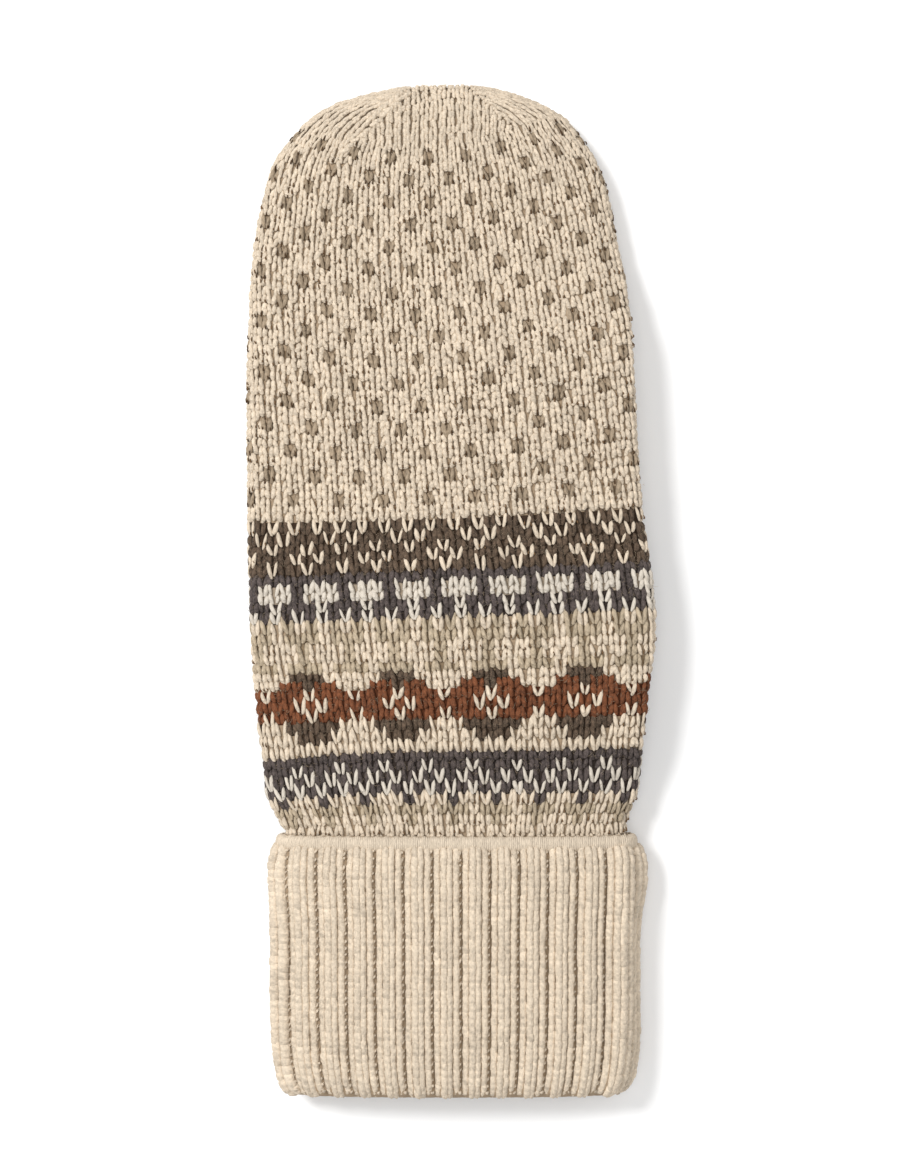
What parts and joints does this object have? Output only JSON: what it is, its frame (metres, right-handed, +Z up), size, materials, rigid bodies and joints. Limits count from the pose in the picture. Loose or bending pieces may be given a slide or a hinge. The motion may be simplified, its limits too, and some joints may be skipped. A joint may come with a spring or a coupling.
{
  "type": "jacquard mitten",
  "caption": "Knitted left-hand mitten with patterned colour bands, a rounded crown, a tucked thumb and a deep turned-up ribbed cuff.",
  "frame": {"origin": "middle of the bounding box, on the surface that the mitten lies on, palm down", "axes": "+Y from the cuff to the fingertips, +X to the thumb side, +Z up from the palm to the back of the hand"},
  "size_m": [0.1066, 0.265, 0.0252],
  "materials": {
    "oat_wool": "matte woollen yarn in oat",
    "ecru_wool": "matte woollen yarn in ecru",
    "khaki_wool": "matte heathered woollen yarn in khaki",
    "brown_wool": "matte heathered woollen yarn in brown",
    "slate_wool": "matte heathered woollen yarn in slate",
    "rust_wool": "matte woollen yarn in rust"
  },
  "bodies": {
    "root": {"hand": "oat_wool", "thumb": "oat_wool", "cuff": "oat_wool"}
  },
  "joints": []
}
